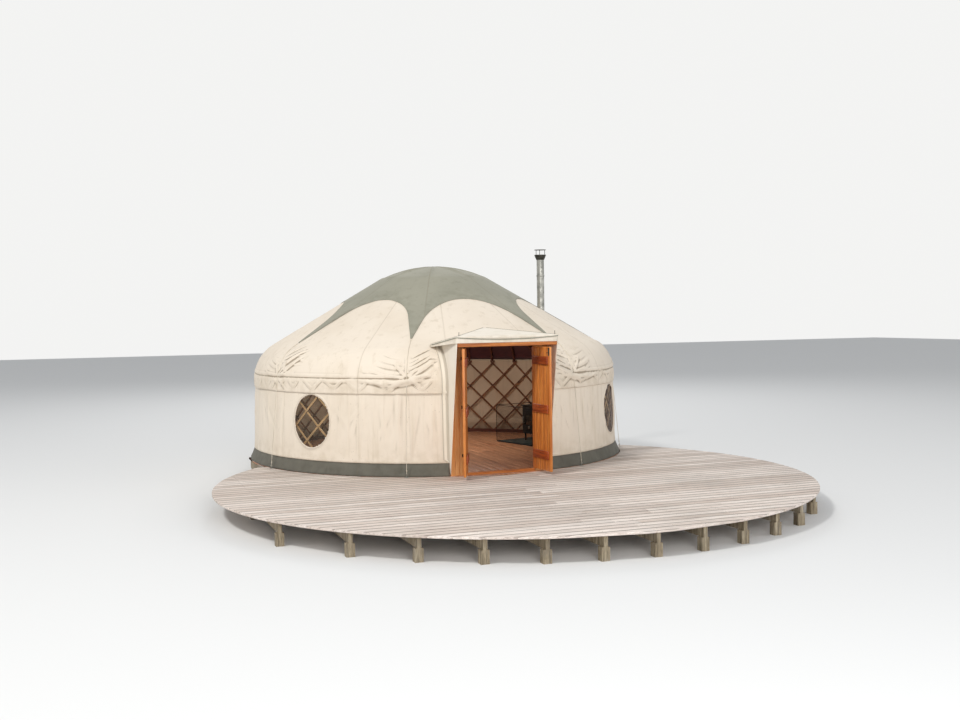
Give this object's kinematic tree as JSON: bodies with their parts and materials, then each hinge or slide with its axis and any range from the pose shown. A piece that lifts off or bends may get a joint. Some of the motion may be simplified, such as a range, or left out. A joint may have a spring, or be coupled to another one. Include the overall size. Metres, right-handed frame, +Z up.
{
  "type": "yurt",
  "caption": "Round cream canvas yurt with a star-shaped crown cover, lattice wall, bent roof poles and open double doors, on a round timber deck.",
  "frame": {"origin": "on the ground under the middle of the yurt, at the foot of its middle post", "axes": "+Z up, the doorway faces -Y, +X to the right of someone who looks at the doorway from outside turned to face +Y"},
  "size_m": [8.2, 10.6459, 3.71],
  "materials": {
    "deck_boards": "weathered grey softwood decking",
    "frame_timber": "rough sawn weathered softwood",
    "floor_boards": "stained floor boards",
    "door_timber": "orange stained pine, oiled",
    "ledge_timber": "redder stained pine, oiled",
    "lattice_timber": "dark brown stained ash battens",
    "canvas": "cream cotton canvas",
    "foot_canvas": "dark grey green cloth",
    "star_canvas": "grey olive canvas",
    "lining": "dark maroon lining cloth",
    "clear_pane": "clear flexible sheet",
    "rope": "cream cotton rope",
    "zinc": "galvanised steel",
    "stove_black": "matt black stove iron",
    "slate": "dark teal hearth slab",
    "hinge_steel": "black painted steel"
  },
  "bodies": {
    "yurt": {"sun_deck": "deck_boards", "deck_joists": "frame_timber", "deck_posts": "frame_timber", "floor_platform": "floor_boards", "platform_joists": "frame_timber", "platform_posts": "frame_timber", "platform_rim": "frame_timber", "floor_kerb": "ledge_timber", "lattice_1": "lattice_timber", "lattice_2": "lattice_timber", "lattice_3": "lattice_timber", "lattice_4": "lattice_timber", "lattice_5": "lattice_timber", "wall_canvas_left": "canvas", "wall_canvas_right": "canvas", "window_panes": "clear_pane", "mud_wall": "foot_canvas", "roof_canvas": "canvas", "roof_lining": "lining", "roof_valance": "canvas", "roof_poles": "lattice_timber", "door_pole_beam": "lattice_timber", "crown_ring": "lattice_timber", "crown_struts": "lattice_timber", "star_cap": "star_canvas", "tie_ropes": "rope", "rope_anchors": "zinc", "door_posts": "door_timber", "door_head": "door_timber", "door_sill": "door_timber", "porch_arms": "door_timber", "porch_rail": "door_timber", "hood_pegs": "zinc", "hood_canvas": "canvas", "hood_wings": "canvas", "hinges_frame": "hinge_steel", "hearth": "slate", "stove_body": "stove_black", "stove_legs": "stove_black", "stove_door": "stove_black", "flue_pipe": "zinc", "flue_cowl": "zinc", "flue_flashing": "zinc", "fire_guard": "stove_black"},
    "door_left": {"leaf_left": "door_timber", "ledges_left": "ledge_timber", "hinges_left": "hinge_steel"},
    "door_right": {"leaf_right": "door_timber", "ledges_right": "ledge_timber", "hinges_right": "hinge_steel"}
  },
  "joints": [
    {"name": "door_left_hinge", "type": "hinge", "parent": "yurt", "child": "door_left", "pos_m": [-0.54, -2.956, 0], "axis": [0, 0, 1], "range_deg": [-4, 113]},
    {"name": "door_right_hinge", "type": "hinge", "parent": "yurt", "child": "door_right", "pos_m": [0.54, -2.956, 0], "axis": [0, 0, 1], "range_deg": [-95, 20]}
  ]
}
